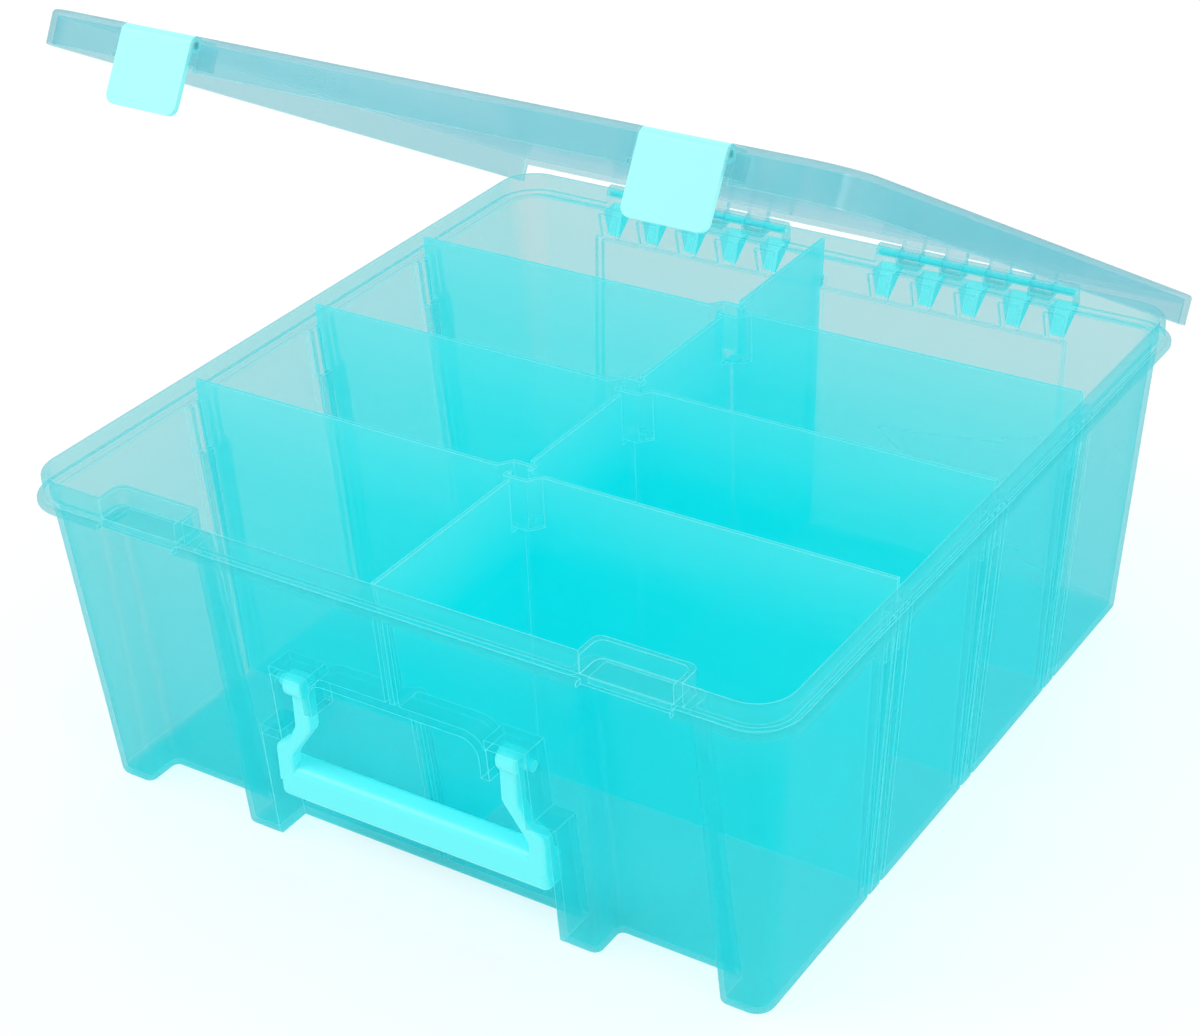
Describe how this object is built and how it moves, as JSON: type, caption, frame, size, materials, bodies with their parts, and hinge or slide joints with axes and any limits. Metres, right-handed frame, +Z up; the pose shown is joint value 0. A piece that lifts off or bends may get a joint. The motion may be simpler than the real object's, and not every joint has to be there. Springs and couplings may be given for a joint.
{
  "type": "lidded storage satchel",
  "caption": "Translucent plastic storage satchel with a hinged snap-latch lid, a folding carrying handle and lift-out dividers that hook together.",
  "frame": {"origin": "middle of the bin's flat underside, on the surface it stands on", "axes": "+X to the right along the front with the latches, +Y towards the hinge at the back, +Z up"},
  "size_m": [0.356, 0.3764, 0.3327],
  "materials": {
    "bin_plastic": "translucent aqua",
    "lid_plastic": "translucent aqua",
    "divider_plastic": "translucent aqua",
    "latch_plastic": "light aqua, nearly opaque",
    "handle_plastic": "light aqua, nearly opaque",
    "pin_plastic": "translucent aqua"
  },
  "bodies": {
    "bin": {"bin": "bin_plastic", "long_divider": "divider_plastic", "hinge_pin_left": "pin_plastic", "hinge_pin_right": "pin_plastic"},
    "lid": {"lid": "lid_plastic"},
    "latch_left": {"latch_left": "latch_plastic"},
    "latch_right": {"latch_right": "latch_plastic"},
    "carrying_handle": {"carrying_handle": "handle_plastic"},
    "cross_divider_left_front": {"cross_divider_left_front": "divider_plastic"},
    "cross_divider_left_middle": {"cross_divider_left_middle": "divider_plastic"},
    "cross_divider_left_rear": {"cross_divider_left_rear": "divider_plastic"},
    "cross_divider_right_front": {"cross_divider_right_front": "divider_plastic"},
    "cross_divider_right_middle": {"cross_divider_right_middle": "divider_plastic"},
    "cross_divider_right_rear": {"cross_divider_right_rear": "divider_plastic"}
  },
  "joints": [
    {"name": "lid_hinge", "type": "hinge", "parent": "bin", "child": "lid", "pos_m": [0, 0.186, 0.1445], "axis": [-1, 0, 0], "range_deg": [-29.2, 80.8]},
    {"name": "latch_left_pivot", "type": "hinge", "parent": "lid", "child": "latch_left", "pos_m": [-0.114, -0.13156, 0.32897], "axis": [-1, 0, 0], "range_deg": [-6, 95]},
    {"name": "latch_right_pivot", "type": "hinge", "parent": "lid", "child": "latch_right", "pos_m": [0.114, -0.13156, 0.32897], "axis": [-1, 0, 0], "range_deg": [-6, 95]},
    {"name": "handle_pivot", "type": "hinge", "parent": "bin", "child": "carrying_handle", "pos_m": [0, -0.167, 0.081], "axis": [-1, 0, 0], "range_deg": [0, 100]},
    {"name": "cross_divider_left_front_lift", "type": "slide", "parent": "bin", "child": "cross_divider_left_front", "axis": [0, 0, 1], "range_m": [0, 0.14]},
    {"name": "cross_divider_left_middle_lift", "type": "slide", "parent": "bin", "child": "cross_divider_left_middle", "axis": [0, 0, 1], "range_m": [0, 0.095]},
    {"name": "cross_divider_left_rear_lift", "type": "slide", "parent": "bin", "child": "cross_divider_left_rear", "axis": [0, 0, 1], "range_m": [0, 0.05]},
    {"name": "cross_divider_right_front_lift", "type": "slide", "parent": "bin", "child": "cross_divider_right_front", "axis": [0, 0, 1], "range_m": [0, 0.14]},
    {"name": "cross_divider_right_middle_lift", "type": "slide", "parent": "bin", "child": "cross_divider_right_middle", "axis": [0, 0, 1], "range_m": [0, 0.095]},
    {"name": "cross_divider_right_rear_lift", "type": "slide", "parent": "bin", "child": "cross_divider_right_rear", "axis": [0, 0, 1], "range_m": [0, 0.05]}
  ]
}
